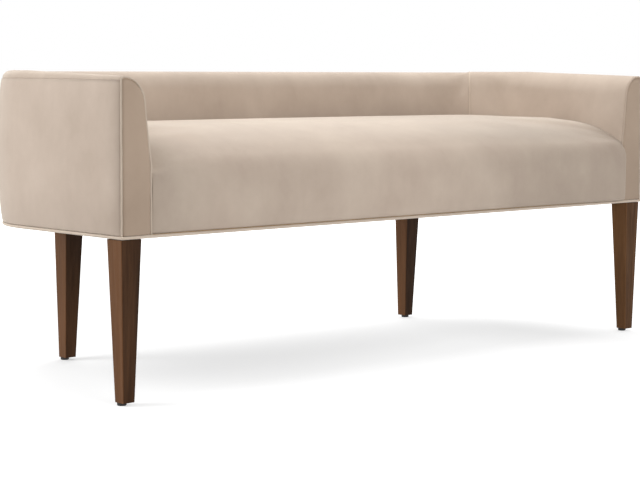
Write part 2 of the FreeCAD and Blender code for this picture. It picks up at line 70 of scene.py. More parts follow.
# The seat, seen from the side.
SEAT_TOP = 0.513
SEAT_FACE = FRONT - 0.011
SEAT_ROLL = 0.052
SEAT_CROWN = 0.4
SEAT_TURN = math.radians(59)
SEAT_TUCK = 0.008
SEAT_END_DROP = 0.002
SEAT_END_SETBACK = 0.002
SEAT_GAP = 0.0006
PROUD = 0.006

# What carries the seat.
SHEET_SETBACK = 0.012
STRAPS = 12
STRAP_PITCH = 0.113
STRAP_WIDTH = 0.05
STRAP_INSET = 0.01225

# Points along the parts of the two sections.
EDGE_POINTS = 7
ROLL_POINTS = 13
LEAN_POINTS = 15
DROP_POINTS = 5
FACE_POINTS = 10
SEAT_ROLL_POINTS = 10
CROWN_POINTS = 26
TOP_POINTS = 16

ARM_RUN = ARC_Y - FRONT
CORNER_RUN = BEND * math.pi / 2
BACK_RUN = 2 * ARC_X
WALL_RUN = 2 * ARM_RUN + 2 * CORNER_RUN + BACK_RUN
LEFT_SEAM = ARM_RUN + CORNER_RUN / 2
RIGHT_SEAM = WALL_RUN - LEFT_SEAM

# Where the inside covers end: behind the front piping, and beside a seam.
ARM_END = 0.0025
SEAM = 0.0008


# Mesh making

def grid_faces(rows, columns, first=0):
    faces = []
    for row in range(rows - 1):
        for column in range(columns - 1):
            corner = first + row * columns + column
            faces.append((corner, corner + columns, corner + columns + 1, corner + 1))
    return faces


def grid_normals(points, outward):
    """Unit normals of a grid of points, turned so that the middle one faces outward."""
    along = np.gradient(points, axis=0)
    across = np.gradient(points, axis=1)
    normals = np.cross(along, across)
    normals /= np.maximum(np.linalg.norm(normals, axis=2, keepdims=True), 1e-9)
    middle = normals[points.shape[0] // 2, points.shape[1] // 2]
    return normals if float(middle @ np.array(outward)) > 0 else -normals


def new_object(name, vertices, faces=(), edges=()):
    mesh = bpy.data.meshes.new(name)
    mesh.from_pydata([tuple(point) for point in vertices], list(edges), list(faces))
    mesh.update()
    piece = bpy.data.objects.new(name, mesh)
    bpy.context.scene.collection.objects.link(piece)
    return piece


def close_up(piece):
    """Merges doubles, turns all faces outwards and shades the piece smooth."""
    work = bmesh.new()
    work.from_mesh(piece.data)
    bmesh.ops.remove_doubles(work, verts=work.verts, dist=1e-6)
    bmesh.ops.recalc_face_normals(work, faces=work.faces)
    for face in work.faces:
        face.smooth = True
    work.to_mesh(piece.data)
    work.free()
    return piece


def cloth_shell(name, points, outward, thickness):
    """A closed piece of cloth and wadding: the skin, its underside and the rim between them."""
    rows, columns = points.shape[:2]
    under = points - thickness * grid_normals(points, outward)
    count = rows * columns
    vertices = np.concatenate([points.reshape(-1, 3), under.reshape(-1, 3)])
    faces = grid_faces(rows, columns)
    faces += [tuple(reversed(face)) for face in grid_faces(rows, columns, count)]
    rim = [row * columns for row in range(rows)]
    rim += [(rows - 1) * columns + column for column in range(1, columns)]
    rim += [row * columns + columns - 1 for row in range(rows - 2, -1, -1)]
    rim += list(range(columns - 2, 0, -1))
    for here, there in zip(rim, rim[1:] + rim[:1]):
        faces.append((here, there, there + count, here + count))
    return close_up(new_object(name, vertices, faces))


def soften(piece, levels=1):
    modifier = piece.modifiers.new("soften", "SUBSURF")
    modifier.levels = levels
    modifier.render_levels = levels
    return piece


SWELLING = {"quality": 6, "mass": 0.3, "tension_stiffness": 30, "compression_stiffness": 30,
            "shear_stiffness": 15, "bending_stiffness": 15}
SMOOTHING_PASSES = 4


def puff(points, outward, pressure, cap, steps=20):
    """Swells a sheet that is held along its rim, as wadding swells a tight cover."""
    rows, columns = points.shape[:2]
    faces = grid_faces(rows, columns)
    middle = rows // 2, columns // 2
    here = points[middle]
    facing = np.cross(points[middle[0] + 1, middle[1]] - here,
                      points[middle[0], middle[1] + 1] - here)
    if float(facing @ np.array(outward)) < 0:
        faces = [tuple(reversed(face)) for face in faces]
    sheet = new_object("swelling_sheet", points.reshape(-1, 3), faces)
    held = sheet.vertex_groups.new(name="held")
    rim = [row * columns + column for row in range(rows) for column in range(columns)
           if row in (0, rows - 1) or column in (0, columns - 1)]
    held.add(rim, 1.0, "REPLACE")
    modifier = sheet.modifiers.new("swell", "CLOTH")
    settings = modifier.settings
    for setting, value in SWELLING.items():
        setattr(settings, setting, value)
    settings.use_pressure = True
    settings.uniform_pressure_force = pressure
    settings.vertex_group_mass = "held"
    settings.effector_weights.gravity = 0
    modifier.point_cache.frame_start = 1
    modifier.point_cache.frame_end = steps
    scene = bpy.context.scene
    for step in range(1, steps + 1):
        scene.frame_set(step)
    evaluated = sheet.evaluated_get(bpy.context.evaluated_depsgraph_get())
    swollen = np.zeros(rows * columns * 3)
    evaluated.data.vertices.foreach_get("co", swollen)
    bpy.data.objects.remove(sheet)
    scene.frame_set(1)
    move = swollen.reshape(points.shape) - points
    for _ in range(SMOOTHING_PASSES):
        move[1:-1, 1:-1] = (2 * move[1:-1, 1:-1] + move[:-2, 1:-1] + move[2:, 1:-1]
                            + move[1:-1, :-2] + move[1:-1, 2:]) / 6
    reach = np.linalg.norm(move, axis=2, keepdims=True)
    return points + move * np.minimum(1, cap / np.maximum(reach, 1e-9))


def fade(value, start, end):
    """A smooth step from 0 at the start to 1 at the end."""
    share = max(0.0, min(1.0, (value - start) / (end - start)))
    return share * share * (3 - 2 * share)


def bump(value, centre, width):
    return math.exp(-((value - centre) / width) ** 2)


def paint_shade(piece, amount):
    """Notes at each point how much painted shade darkens the nap."""
    layer = piece.data.attributes.new("painted_shade", "FLOAT", "POINT")
    values = [min(1.0, amount(*vertex.co)) for vertex in piece.data.vertices]
    layer.data.foreach_set("value", values)


# The wall: stations along its outer line, and its section

def wall_top(run):
    """The wall's height at a distance from the front of an arm."""
    return ARM_TOP + (BACK_TOP - ARM_TOP) * max(0.0, min(1.0, run / ARM_RUN))


def bend_station(centre_x, turn):
    way = (math.cos(turn), math.sin(turn))
    return (centre_x + BEND * way[0], ARC_Y + BEND * way[1]), (-way[0], -way[1]), BACK_TOP


def station(run):
    """Outer point, inward direction and top height at a distance along the wall from its left front."""
    if run <= ARM_RUN:
        return (-HALF, FRONT + run), (1.0, 0.0), wall_top(run)
    run -= ARM_RUN
    if run <= CORNER_RUN:
        return bend_station(-ARC_X, math.pi - run / BEND)
    run -= CORNER_RUN
    if run <= BACK_RUN:
        return (-ARC_X + run, BACK), (0.0, -1.0), BACK_TOP
    run -= BACK_RUN
    if run <= CORNER_RUN:
        return bend_station(ARC_X, math.pi / 2 - run / BEND)
    run -= CORNER_RUN
    return (HALF, ARC_Y - run), (-1.0, 0.0), wall_top(ARM_RUN - run)


def edge_round(top):
    """Width and height of the round from the outer seam to the top. The seam stays nearly level while
    an arm rises, so the round grows towards the back."""
    share = (top - ARM_TOP) / (BACK_TOP - ARM_TOP)
    return EDGE + (REAR_EDGE_WIDTH - EDGE) * share, EDGE + (REAR_EDGE - EDGE) * share


def skin(top, inset=0.0, low=DECK, seam=0.0):
    """The section from the outer seam over the roll and down the inner face, as inward distance and
    height. It can start by an angle below the seam."""
    line = []
    wide, edge = edge_round(top)
    for turn in np.linspace(math.pi + seam, math.pi / 2, EDGE_POINTS):
        line.append((wide + (wide - inset) * math.cos(turn),
                     top - edge + (edge - inset) * math.sin(turn)))
    reach = EDGE + ROLL - wide - inset
    for turn in np.linspace(math.pi / 2, LEAN, ROLL_POINTS)[1:]:
        line.append((wide + reach * math.cos(turn), top - ROLL + (ROLL - inset) * math.sin(turn)))
    far, high = line[-1]
    knee = high - (WALL - inset - far) / math.tan(LEAN)
    for share in np.linspace(0, 1, LEAN_POINTS)[1:]:
        line.append((far + (WALL - inset - far) * share, high + (knee - high) * share))
    for share in np.linspace(0, 1, DROP_POINTS)[1:]:
        line.append((WALL - inset, knee + (low - knee) * share))
    return line


def wall_grid(runs, section):
    rows = []
    for run in runs:
        (x, y), (in_x, in_y), top = station(run)
        rows.append([(x + in_x * depth, y + in_y * depth, z) for depth, z in section(top)])
    return np.array(rows)


def runs_between(start, end, step=0.012, fine=0.03):
    """Distances along the wall, closer together next to both ends."""
    inner = np.linspace(start + fine, end - fine, max(2, round((end - start - 2 * fine) / step)))
    ease = fine * np.array([0, 0.1, 0.22, 0.38, 0.58, 0.78])
    return np.concatenate([start + ease, inner, end - ease[::-1]])


def sink_rim(points, outward, depth):
    """Draws both ends and the top of a cover into their seams."""
    normals = grid_normals(points, outward)
    drawn = points.copy()
    for place in (np.s_[0], np.s_[-1], np.s_[:, 0]):
        drawn[place] -= depth * normals[place]
    return drawn


def inside_cover(name, start, end, outward, replaced):
    """The cloth over the roll and down the inner face, between two seams along the wall."""
    points = wall_grid(runs_between(start, end), lambda top: skin(top, seam=0.12))
    points = sink_rim(points, outward, depth=0.0007)
    points = puff(points, outward, pressure=2.0, cap=0.0018)
    piece = soften(cloth_shell(name, points, outward, thickness=0.006))

    # Painted shade low on the inside covers, where the seat shades them; it fades out at the right bend
    # and on the right arm.
    def painted_shade_low_inside(x, y, z):
        return 0.2 * fade(z, 0.58, 0.52) * fade(x, ARC_X + 0.1, ARC_X)

    paint_shade(piece, painted_shade_low_inside)
    upholster(piece, "beige_velvet", replaced)


def outside_cover():
    """The cloth round the sides, bends and back, drawn over its boards with a slight belly."""
    belly, roundness = 0.0095, 0.55
    end_flatness, end_width = 0.97, 0.018
    roll_in, roll_width = 0.002, 0.005
    pucker_depth, pucker_width = 0.0015, 0.007
    foot_tuck = 0.0006
    top_lap = 0.001
    start = 0.0018
    shares = np.concatenate([[0, 0.006, 0.02], np.linspace(0.05, 0.95, 19), [0.98, 0.994, 1]])
    rows = []
    for run in runs_between(start, WALL_RUN - start):
        (x, y), (in_x, in_y), top = station(run)
        from_end = min(run, WALL_RUN - run)
        fullness = 1 - end_flatness * math.exp(-from_end / end_width)
        height = top - edge_round(top)[1] + top_lap - SKIRT
        row = []
        for share in shares:
            below_top = (1 - share) * height
            corner = bump(from_end, 0, pucker_width) * bump(below_top, 0, pucker_width)
            depth = foot_tuck * (share == 0) + roll_in * math.exp(-from_end / roll_width)
            depth += pucker_depth * corner
            depth -= belly * fullness * math.sin(math.pi * share) ** roundness
            row.append((x + in_x * depth, y + in_y * depth, SKIRT + height * share))
        rows.append(row)
    piece = soften(cloth_shell("outside_cloth", np.array(rows), (0, 1, 0), thickness=0.003))

    # Painted shade on the outer side: a band along the front edge where the side rolls in, a dark line
    # in the front seam, shade under the top seam that grows towards the front, and shade towards the
    # bottom.
    def painted_shade_on_side(x, y, z):
        top = wall_top(y - FRONT)
        below_top = top - edge_round(top)[1] - z
        front_band = 0.55 * math.exp(-(y - FRONT) / 0.014)
        front_seam = 0.45 * bump(y, FRONT, 0.004)
        top_seam = (0.18 + 0.3 * fade(y, FRONT + 0.25, FRONT + 0.05)) * bump(below_top, 0, 0.0028)
        return front_band + front_seam + top_seam + 0.12 * fade(z, 0.42, 0.32)

    paint_shade(piece, painted_shade_on_side)
    upholster(piece, "outside_velvet", ["outside_cover"])


def front_cover(side, sign):
    """The facing on an arm's end, stretched over its board inside the piping."""
    inset = 0.7 * PIPING
    swell_height, swell_roundness = 0.0042, 0.7
    side_slope, top_slope = 9, 30
    board_face = FRONT + 0.003
    line = skin(ARM_TOP, inset, SKIRT)
    roll_end = EDGE_POINTS + ROLL_POINTS - 1
    upper = np.array(line[:roll_end])
    inner = np.array(line[roll_end - 1:])
    outer = np.array([(inset, SKIRT), (inset, ARM_TOP - EDGE)])
    rises = np.concatenate([np.linspace(0, 0.93, 30), [0.955, 0.975, 0.99, 1]])
    shares = np.concatenate([[0, 0.025, 0.06, 0.11], np.linspace(0.18, 0.82, 12),
                             [0.89, 0.94, 0.975, 1]])

    def along(track, share):
        steps = np.concatenate([[0], np.cumsum(np.linalg.norm(np.diff(track, axis=0), axis=1))])
        return np.array([np.interp(share * steps[-1], steps, track[:, axis]) for axis in (0, 1)])

    foot_a, foot_b = outer[0], inner[-1]
    head_a, head_b = upper[0], upper[-1]
    points = np.zeros((len(rises), len(shares), 3))
    for row, rise in enumerate(rises):
        left = along(outer, rise)
        right = along(inner, 1 - rise)
        for column, share in enumerate(shares):
            low = foot_a + (foot_b - foot_a) * share
            high = along(upper, share)
            flat = (1 - rise) * low + rise * high + (1 - share) * left + share * right
            flat -= ((1 - rise) * ((1 - share) * foot_a + share * foot_b)
                     + rise * ((1 - share) * head_a + share * head_b))
            from_rim = min(share * side_slope, (1 - share) * side_slope, (1 - rise) * top_slope, 1)
            swell = swell_height * math.sin(from_rim * math.pi / 2) ** swell_roundness
            points[row, column] = (sign * (HALF - flat[0]), board_face - swell, flat[1])
    piece = soften(cloth_shell(f"{side}_front_cloth", points, (0, -1, 0), thickness=0.002))

    # Painted shade on the facing: darker towards the bottom, and a dark line in the seam beside the
    # piping.
    def painted_shade_low_and_at_piping(x, y, z):
        return 0.2 * fade(z, 0.5, 0.35) + 0.5 * bump(HALF - abs(x), inset, 0.003)

    paint_shade(piece, painted_shade_low_and_at_piping)
    upholster(piece, "facing_velvet", [f"{side}_front_cover"])


# The seat

def inner_depth(z, top):
    """How far the wall's inner face lies inwards at a height."""
    far = EDGE + ROLL * math.cos(LEAN)
    high = top - ROLL + ROLL * math.sin(LEAN)
    return min(WALL, far + max(0, high - z) * math.tan(LEAN))


def bend_reach(y, bend):
    """Half the width between the rear bends, at a place behind their centres."""
    return ARC_X + math.sqrt(max(0, bend ** 2 - (y - ARC_Y) ** 2))


def seat_reach(y, z):
    """Half the seat's width between the inner faces of the wall."""
    if y <= ARC_Y:
        return HALF - inner_depth(z, wall_top(y - FRONT))
    return bend_reach(y, BEND - inner_depth(z, BACK_TOP))


def seat_profile():
    """The seat from the side, from the foot of its face over the roll and the crown to the back."""
    roll_y = SEAT_FACE + SEAT_ROLL
    roll_z = SEAT_TOP - SEAT_CROWN + (SEAT_CROWN - SEAT_ROLL) * math.sin(SEAT_TURN)
    crown_y = roll_y + (SEAT_CROWN - SEAT_ROLL) * math.cos(SEAT_TURN)
    crown_z = SEAT_TOP - SEAT_CROWN
    foot = SKIRT - SEAT_GAP
    last = BACK - inner_depth(SEAT_TOP, BACK_TOP) - SEAT_GAP
    line = []
    for share in np.linspace(0, 1, FACE_POINTS):
        line.append((SEAT_FACE + SEAT_TUCK * (1 - share) ** 2, foot + (roll_z - foot) * share))
    for turn in np.linspace(math.pi, math.pi - SEAT_TURN, SEAT_ROLL_POINTS)[1:]:
        line.append((roll_y + SEAT_ROLL * math.cos(turn), roll_z + SEAT_ROLL * math.sin(turn)))
    for turn in np.linspace(math.pi - SEAT_TURN, math.pi / 2, CROWN_POINTS)[1:]:
        line.append((crown_y + SEAT_CROWN * math.cos(turn), crown_z + SEAT_CROWN * math.sin(turn)))
    for share in 1 - (1 - np.linspace(0, 1, TOP_POINTS)[1:]) ** 1.8:
        line.append((crown_y + (last - crown_y) * share, SEAT_TOP))
    return line


def seat_rows(line, across):
    """The seat's skin before it is padded: proud of the facings, with a lower right end and a right
    foot that isn't tucked under."""
    left_lap, right_lap = 0.0012, 0.004
    rows = []
    for number, (y, z) in enumerate(line):
        reach = seat_reach(y, z) - SEAT_GAP
        proud = max(0, min(1, (FRONT - y) / PROUD))
        left_reach, right_reach = reach + left_lap * proud, reach + right_lap * proud
        recess = y - SEAT_FACE if number < FACE_POINTS else 0
        above_foot = min(1, (z - line[0][1]) / 0.1)
        right_drop = 0.0045 * fade(y, -0.2, -0.08) * (1 - fade(y, 0.03, 0.18))
        row = []
        for share in across:
            leftward = max(0, -share) ** 2
            x = share * (right_reach if share > 0 else left_reach)
            if share < -0.99:
                x -= 0.3 * recess
            row.append((x,
                        y + SEAT_END_SETBACK * leftward - 0.85 * recess * fade(share, 0.5, 1),
                        z - SEAT_END_DROP * leftward * above_foot
                        - right_drop * fade(share, 0.75, 1)))
        rows.append(row)
    return np.array(rows)


def near(distance, reach):
    """1 at an edge, falling to 0 at a distance from it."""
    return np.maximum(0, 1 - distance / reach) ** 2


def row_bump(rows, peak, before, after):
    """A bump over the numbered rows of a grid."""
    return np.array([[[bump(row, peak, before if row < peak else after)]] for row in range(rows)])


def seat_cushion():
    line = seat_profile()
    even = np.linspace(-1, 1, 109)
    ease = np.array([0.003, 0.007, 0.012, 0.019, 0.028]) / 0.69
    across = np.concatenate([[-1], -1 + ease, even[3:-3], 1 - ease[::-1], [1]])
    points = seat_rows(line, across)
    outward = (0, 0, 1)
    normals = grid_normals(points, outward)
    depth = points[:, :, 1:2]
    from_left = np.abs(points[:, :, :1] - points[:, :1, :1])
    from_right = np.abs(points[:, -1:, :1] - points[:, :, :1])
    from_back = points[-1:, :, 1:2] - depth
    behind_front = np.clip((depth - FRONT) / 0.02, 0, 1)
    on_face = np.clip((FRONT - depth) / PROUD, 0, 1)

    # Padding over the roll, by the number of the row: it is fuller on the right and in the middle, and
    # it falls into a pocket beside the left arm.
    on_roll = row_bump(len(line), 20, 7, 7)
    shoulder = row_bump(len(line), 17, 6, 11)
    crest = row_bump(len(line), 23, 9, 11)
    smooth = np.vectorize(fade)
    rightward = np.maximum(0, across[None, :, None]) ** 1.5
    in_middle = smooth(from_left, 0, 0.2) * smooth(from_right, 0, 0.55)
    fuller = 0.007 * shoulder * rightward + 0.007 * crest * in_middle
    pocket = np.maximum(0.019 * on_roll * near(from_left, 0.07),
                        0.0085 * on_face * near(from_left, 0.045))
    tuck = (0.0016 * near(from_left, 0.008)
            + (0.0004 + 0.0012 * behind_front) * near(from_right, 0.005)
            + 0.002 * near(from_back, 0.009))
    points = points + (fuller - SEAT_GAP - tuck - pocket) * normals
    points = puff(points, outward, pressure=3.0, cap=0.003)
    piece = soften(cloth_shell("seat_cushion", points, outward, thickness=0.012))

    # Painted shade on the seat: in the pocket beside the left arm, towards both ends and more at each
    # end as the light falls off, over the right part of the top, along the shoulder where the roll
    # turns from the light, and a dark contact line where the seat meets the right arm.
    def painted_shade_on_seat(x, y, z):
        in_pocket = 0.95 * bump(x, -0.695, 0.06) * bump(z, 0.482, 0.032)
        outer = 0.25 * (1 - bump(x, 0.02, 0.26))
        right = 0.14 * fade(x, 0.2, 0.45)
        left = 0.3 * fade(x, -0.52, -0.68)
        on_top = 0.12 * fade(x, -0.25, 0.05) * fade(y, -0.22, -0.16)
        on_shoulder = (0.15 + 0.38 * fade(x, -0.35, 0.3)) * bump(y, -0.23, 0.06)
        in_seam = 0.6 * bump(x, seat_reach(y, z), 0.005) if x > 0 and y > FRONT else 0
        return max(in_pocket, outer + left) + right + on_top + on_shoulder + in_seam

    paint_shade(piece, painted_shade_on_seat)
    upholster(piece, "seat_velvet", ["seat_cover", "seat_foam"])


# Pipings, welt and staples, which follow a path

def new_tree(name, inputs):
    tree = bpy.data.node_groups.new(name, "GeometryNodeTree")
    tree.interface.new_socket("Path", in_out="INPUT", socket_type="NodeSocketGeometry")
    for label, kind, value in inputs:
        socket = tree.interface.new_socket(label, in_out="INPUT", socket_type=kind)
        if value is not None:
            socket.default_value = value
    tree.interface.new_socket("Piece", in_out="OUTPUT", socket_type="NodeSocketGeometry")
    return tree, tree.nodes.new("NodeGroupInput"), tree.nodes.new("NodeGroupOutput")


def cord_tree():
    """A covered cord swept along a path, with the slight unevenness of sewn cloth."""
    tree, entry, leave = new_tree("sewn_cord", (
        ("Radius", "NodeSocketFloat", 0.002),
        ("Step", "NodeSocketFloat", 0.004),
        ("Unevenness", "NodeSocketFloat", 0.0002),
        ("Cloth", "NodeSocketMaterial", None),
    ))
    link = tree.links.new
    curve = tree.nodes.new("GeometryNodeMeshToCurve")
    spaced = tree.nodes.new("GeometryNodeResampleCurve")
    spaced.mode = "LENGTH"
    noise = tree.nodes.new("ShaderNodeTexNoise")
    noise.inputs["Scale"].default_value = 45
    centred = tree.nodes.new("ShaderNodeVectorMath")
    centred.operation = "SUBTRACT"
    centred.inputs[1].default_value = (0.5, 0.5, 0.5)
    scaled = tree.nodes.new("ShaderNodeVectorMath")
    scaled.operation = "SCALE"
    shifted = tree.nodes.new("GeometryNodeSetPosition")
    ring = tree.nodes.new("GeometryNodeCurvePrimitiveCircle")
    ring.inputs["Resolution"].default_value = 12
    swept = tree.nodes.new("GeometryNodeCurveToMesh")
    swept.inputs["Fill Caps"].default_value = True
    smooth = tree.nodes.new("GeometryNodeSetShadeSmooth")
    whole = tree.nodes.new("GeometryNodeRealizeInstances")
    clad = tree.nodes.new("GeometryNodeSetMaterial")
    link(entry.outputs["Path"], curve.inputs["Mesh"])
    link(curve.outputs["Curve"], spaced.inputs["Curve"])
    link(entry.outputs["Step"], spaced.inputs["Length"])
    link(noise.outputs["Color"], centred.inputs[0])
    link(centred.outputs["Vector"], scaled.inputs[0])
    link(entry.outputs["Unevenness"], scaled.inputs["Scale"])
    link(spaced.outputs["Curve"], shifted.inputs["Geometry"])
    link(scaled.outputs["Vector"], shifted.inputs["Offset"])
    link(entry.outputs["Radius"], ring.inputs["Radius"])
    link(shifted.outputs["Geometry"], swept.inputs["Curve"])
    link(ring.outputs["Curve"], swept.inputs["Profile Curve"])
    link(swept.outputs["Mesh"], smooth.inputs["Geometry"])
    link(smooth.outputs["Geometry"], whole.inputs["Geometry"])
    link(whole.outputs["Geometry"], clad.inputs["Geometry"])
    link(entry.outputs["Cloth"], clad.inputs["Material"])
    link(clad.outputs["Geometry"], leave.inputs["Piece"])
    return tree


def staple_tree():
    """Wire staples set across a path at an even pitch."""
    tree, entry, leave = new_tree("staple_row", (
        ("Pitch", "NodeSocketFloat", 0.04),
        ("Length", "NodeSocketFloat", 0.0095),
        ("Wire", "NodeSocketFloat", 0.0005),
        ("Steel", "NodeSocketMaterial", None),
    ))
    link = tree.links.new
    curve = tree.nodes.new("GeometryNodeMeshToCurve")
    spaced = tree.nodes.new("GeometryNodeCurveToPoints")
    spaced.mode = "LENGTH"
    crown = tree.nodes.new("GeometryNodeCurvePrimitiveLine")
    crown.mode = "DIRECTION"
    crown.inputs["Direction"].default_value = (0, 0, 1)
    ring = tree.nodes.new("GeometryNodeCurvePrimitiveCircle")
    ring.inputs["Resolution"].default_value = 6
    wire = tree.nodes.new("GeometryNodeCurveToMesh")
    wire.inputs["Fill Caps"].default_value = True
    placed = tree.nodes.new("GeometryNodeInstanceOnPoints")
    whole = tree.nodes.new("GeometryNodeRealizeInstances")
    clad = tree.nodes.new("GeometryNodeSetMaterial")
    link(entry.outputs["Path"], curve.inputs["Mesh"])
    link(curve.outputs["Curve"], spaced.inputs["Curve"])
    link(entry.outputs["Pitch"], spaced.inputs["Length"])
    link(entry.outputs["Length"], crown.inputs["Length"])
    link(entry.outputs["Wire"], ring.inputs["Radius"])
    link(crown.outputs["Curve"], wire.inputs["Curve"])
    link(ring.outputs["Curve"], wire.inputs["Profile Curve"])
    link(spaced.outputs["Points"], placed.inputs["Points"])
    link(spaced.outputs["Rotation"], placed.inputs["Rotation"])
    link(wire.outputs["Mesh"], placed.inputs["Instance"])
    link(placed.outputs["Instances"], whole.inputs["Geometry"])
    link(whole.outputs["Geometry"], clad.inputs["Geometry"])
    link(entry.outputs["Steel"], clad.inputs["Material"])
    link(clad.outputs["Geometry"], leave.inputs["Piece"])
    return tree


def grow(name, path, closed, tree, values):
    """Runs a tree on a path and keeps the result as a plain mesh."""
    edges = [(number, number + 1) for number in range(len(path) - 1)]
    if closed:
        edges.append((len(path) - 1, 0))
    piece = new_object(name, path, edges=edges)
    modifier = piece.modifiers.new("grow", "NODES")
    modifier.node_group = tree
    for socket in tree.interface.items_tree:
        if socket.item_type == "SOCKET" and socket.in_out == "INPUT" and socket.name in values:
            modifier[socket.identifier] = values[socket.name]
    evaluated = piece.evaluated_get(bpy.context.evaluated_depsgraph_get())
    mesh = bpy.data.meshes.new_from_object(evaluated)
    piece.modifiers.remove(modifier)
    piece.data = mesh
    mesh.name = name
    return piece


def plan_line(inset, front, step=0.008):
    """The bench from above, as a closed line drawn in from the outer faces."""
    line = []
    for run in np.arange(0, WALL_RUN + step / 2, step):
        (x, y), (in_x, in_y), _ = station(min(run, WALL_RUN))
        line.append((x + in_x * inset, max(y + in_y * inset, front)))
    for share in np.linspace(0, 1, 180)[1:-1]:
        line.append(((HALF - inset) * (1 - 2 * share), front))
    return line


def pipings():
    tree = cord_tree()
    for side, sign in (("left", -1), ("right", 1)):
        line = [(PIPING / 2, SKIRT + (ARM_TOP - EDGE - SKIRT) * share)
                for share in np.linspace(0, 1, 30)[:-1]]
        line += skin(ARM_TOP, PIPING / 2, SKIRT)
        path = [(sign * (HALF - depth), FRONT + PIPING / 2 - 0.0004, z) for depth, z in line]
        piece = grow(f"{side}_front_cord", path, False, tree,
                     {"Radius": PIPING / 2, "Unevenness": 0.0014,
                      "Cloth": velvets[f"{side}_piping_velvet"]})
        dress(piece, [f"{side}_front_piping"])
        (x, y), (in_x, in_y), top = station(LEFT_SEAM if sign < 0 else RIGHT_SEAM)
        path = [(x + in_x * depth, y + in_y * depth, z) for depth, z in skin(top, 0.0014)
                if z > SEAT_TOP - 0.004]
        piece = grow(f"{side}_corner_cord", path, False, tree,
                     {"Radius": PIPING / 2, "Cloth": velvets["piping_velvet"]})
        dress(piece, [f"{side}_corner_piping"])
    path = [(x, y, BASE + WELT / 2) for x, y in plan_line(0.0015, FRONT)]
    piece = grow("base_cord", path, True, tree,
                 {"Radius": WELT / 2, "Unevenness": 0.0003, "Cloth": velvets["piping_velvet"]})
    dress(piece, ["base_welt"])


def frame_sheet(inset, height):
    """A grid over the frame's plan, drawn in from the outer faces. Its height depends on the shares of
    the way across and back."""
    rows, columns = 36, 90
    front = FRONT + SHEET_SETBACK
    points = np.zeros((rows, columns, 3))
    for row, deep in enumerate(np.linspace(0, 1, rows)):
        y = front + (BACK - inset - front) * (1 - (1 - deep) ** 1.4)
        reach = HALF - inset if y <= ARC_Y else bend_reach(y, BEND - inset)
        for column, share in enumerate(np.linspace(-1, 1, columns)):
            points[row, column] = (share * reach, y, height(share, deep))
    return points


def underside():
    """The dust sheet under the frame, its staples, and the webbing and hessian that carry the seat."""
    def sagging(share, deep):
        return BASE - 0.0001 - 0.0006 * (1 - share ** 4) * (1 - (2 * deep - 1) ** 4)

    sheet = cloth_shell("dust_sheet_cloth", frame_sheet(0.006, sagging), (0, 0, -1), thickness=0.0003)
    give(sheet, dust_cloth)
    dress(sheet, ["dust_cover"])
    path = [(x, y, BASE - 0.0012) for x, y in plan_line(0.018, FRONT + 0.024)]
    piece = grow("dust_sheet_staples", path, True, staple_tree(), {"Steel": bright_steel})
    dress(piece, [])

    straps = [seat_strap(number) for number in range(STRAPS)]
    webbing = straps[0]
    with bpy.context.temp_override(active_object=webbing, selected_editable_objects=straps):
        bpy.ops.object.join()
    webbing.name = "seat_straps"
    webbing.data.name = "seat_straps"
    give(webbing, woven_strap)
    dress(webbing, ["seat_webbing"])

    points = frame_sheet(0.031, lambda share, deep: RAIL_TOP + 0.0032)
    deck = cloth_shell("hessian_deck", points, (0, 0, 1), thickness=0.0009)
    give(deck, hessian)
    dress(deck, ["seat_deck"])


def seat_strap(number):
    """One webbing strap from the front rail to the rear rail or a bend, with ribs along it."""
    middle = (number - (STRAPS - 1) / 2) * STRAP_PITCH
    outer_edge = abs(middle) + STRAP_WIDTH / 2
    start = FRONT + SHEET_SETBACK
    last = BACK - STRAP_INSET
    if outer_edge > ARC_X:
        last = ARC_Y + math.sqrt((BEND - STRAP_INSET) ** 2 - (outer_edge - ARC_X) ** 2)
    points = np.zeros((40, 9, 3))
    for row, along in enumerate(np.linspace(0, 1, 40)):
        for column, share in enumerate(np.linspace(-1, 1, 9)):
            rib = 0.00012 * math.cos(share * 4 * math.pi)
            points[row, column] = (middle + STRAP_WIDTH / 2 * share, start + (last - start) * along,
                                   RAIL_TOP + 0.0018 + rib)
    return cloth_shell(f"strap_{number}", points, (0, 0, 1), thickness=0.0016)


# Finishes

WHITE = (1, 1, 1, 1)
BLACK = (0, 0, 0, 1)
PAINTED_SHADE_TINT = (0.55, 0.54, 0.53, 1)


def give(piece, material):
    piece.data.materials.clear()
    piece.data.materials.append(material)


def dress(piece, replaced):
    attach(piece, "root")
    if replaced:
        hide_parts(*replaced)


def upholster(piece, shade, replaced):
    give(piece, velvets[shade])
    dress(piece, replaced)


def linear(red, green, blue):
    """A colour given by its screen values, from 0 to 255."""
    def one(value):
        value /= 255
        return value / 12.92 if value <= 0.04045 else ((value + 0.055) / 1.055) ** 2.4
    return one(red), one(green), one(blue), 1.0


def shade_group(name, *inputs):
    """A new shader group that puts out a colour, a roughness and a height."""
    tree = bpy.data.node_groups.new(name, "ShaderNodeTree")
    for label, kind, value in inputs:
        socket = tree.interface.new_socket(label, in_out="INPUT", socket_type=kind)
        socket.default_value = value
    for label, kind in (("Colour", "NodeSocketColor"), ("Roughness", "NodeSocketFloat"),
                        ("Height", "NodeSocketFloat")):
        tree.interface.new_socket(label, in_out="OUTPUT", socket_type=kind)
    return tree, tree.nodes.new("NodeGroupInput"), tree.nodes.new("NodeGroupOutput")


